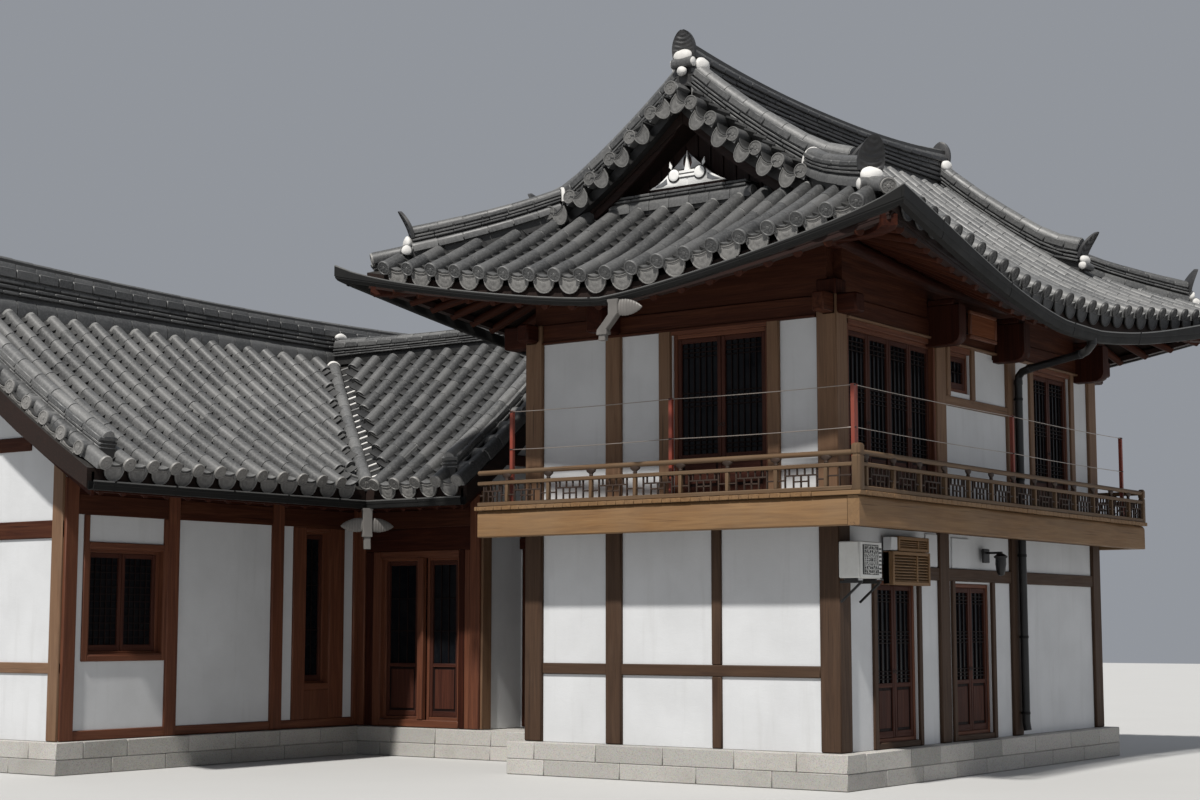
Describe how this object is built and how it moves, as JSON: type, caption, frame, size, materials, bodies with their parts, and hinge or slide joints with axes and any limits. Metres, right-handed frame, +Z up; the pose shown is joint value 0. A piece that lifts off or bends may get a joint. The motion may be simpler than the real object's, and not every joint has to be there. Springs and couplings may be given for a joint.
{
  "type": "hanok house",
  "caption": "Korean timber house with a two-storey block under a hip-and-gable tiled roof, a wrap-round balcony, and a lower tiled wing and range behind.",
  "frame": {"origin": "centre of the whole house's bounding box in plan, at ground level on the underside of the stone base", "axes": "+X along the long balcony front towards its far end, +Y from the front towards the back range, +Z up"},
  "size_m": [12.06, 14.79, 8.19],
  "materials": {
    "tile": "weathered grey clay roof tile",
    "gable_board": "dark red-brown oiled boards with white plaster ornament",
    "gutter_metal": "charcoal painted sheet metal",
    "stone": "split granite with flush joints",
    "timber": "oiled pine, darker under the eaves",
    "plaster": "white lime plaster",
    "joinery": "dark brown stained timber round dark glass",
    "deck_timber": "weathered light brown pine",
    "red_steel": "rust-red painted steel posts, bare thin cables",
    "sign_board": "plain varnished board",
    "appliance": "light grey painted sheet metal"
  },
  "bodies": {
    "root": {"main_roof_front_slope": "tile", "main_roof_back_slope": "tile", "main_roof_left_skirt": "tile", "main_roof_right_skirt": "tile", "main_ridge": "tile", "hip_ridge_front_left": "tile", "hip_ridge_back_left": "tile", "hip_ridge_front_right": "tile", "hip_ridge_back_right": "tile", "wing_roof_west": "tile", "wing_roof_east": "tile", "range_roof_south_west": "tile", "range_roof_north": "tile", "range_ridge": "tile", "wing_ridge": "tile", "valley_course": "tile", "gable_wall_left": "gable_board", "gable_wall_right": "gable_board", "main_gutter": "gutter_metal", "court_gutter": "gutter_metal", "downpipe": "gutter_metal", "stone_base": "stone", "upper_floor": "timber", "timber_frame_front": "timber", "timber_frame_back": "timber", "timber_frame_left": "timber", "timber_frame_right": "timber", "eave_beams": "timber", "main_rafters": "timber", "front_wall": "plaster", "back_wall": "plaster", "left_wall": "plaster", "right_wall": "plaster", "range_west_gable": "plaster", "range_east_gable": "plaster", "wing_south_gable": "plaster", "range_south_wall": "plaster", "range_north_wall": "plaster", "wing_west_wall": "plaster", "wing_east_wall": "plaster", "link_passage": "plaster", "upper_front_doors_wide": "joinery", "upper_front_window": "joinery", "upper_front_doors_narrow": "joinery", "lower_front_door_left": "joinery", "lower_front_door_right": "joinery", "upper_left_doors": "joinery", "upper_right_window": "joinery", "wing_west_doors": "joinery", "range_south_glazing": "joinery", "range_north_glazing": "joinery", "balcony_deck": "deck_timber", "balcony_beams": "deck_timber", "balcony_railing_front": "deck_timber", "balcony_railing_left": "deck_timber", "louvre_box": "deck_timber", "safety_rail": "red_steel", "name_board": "sign_board", "ac_unit": "appliance"}
  },
  "joints": []
}
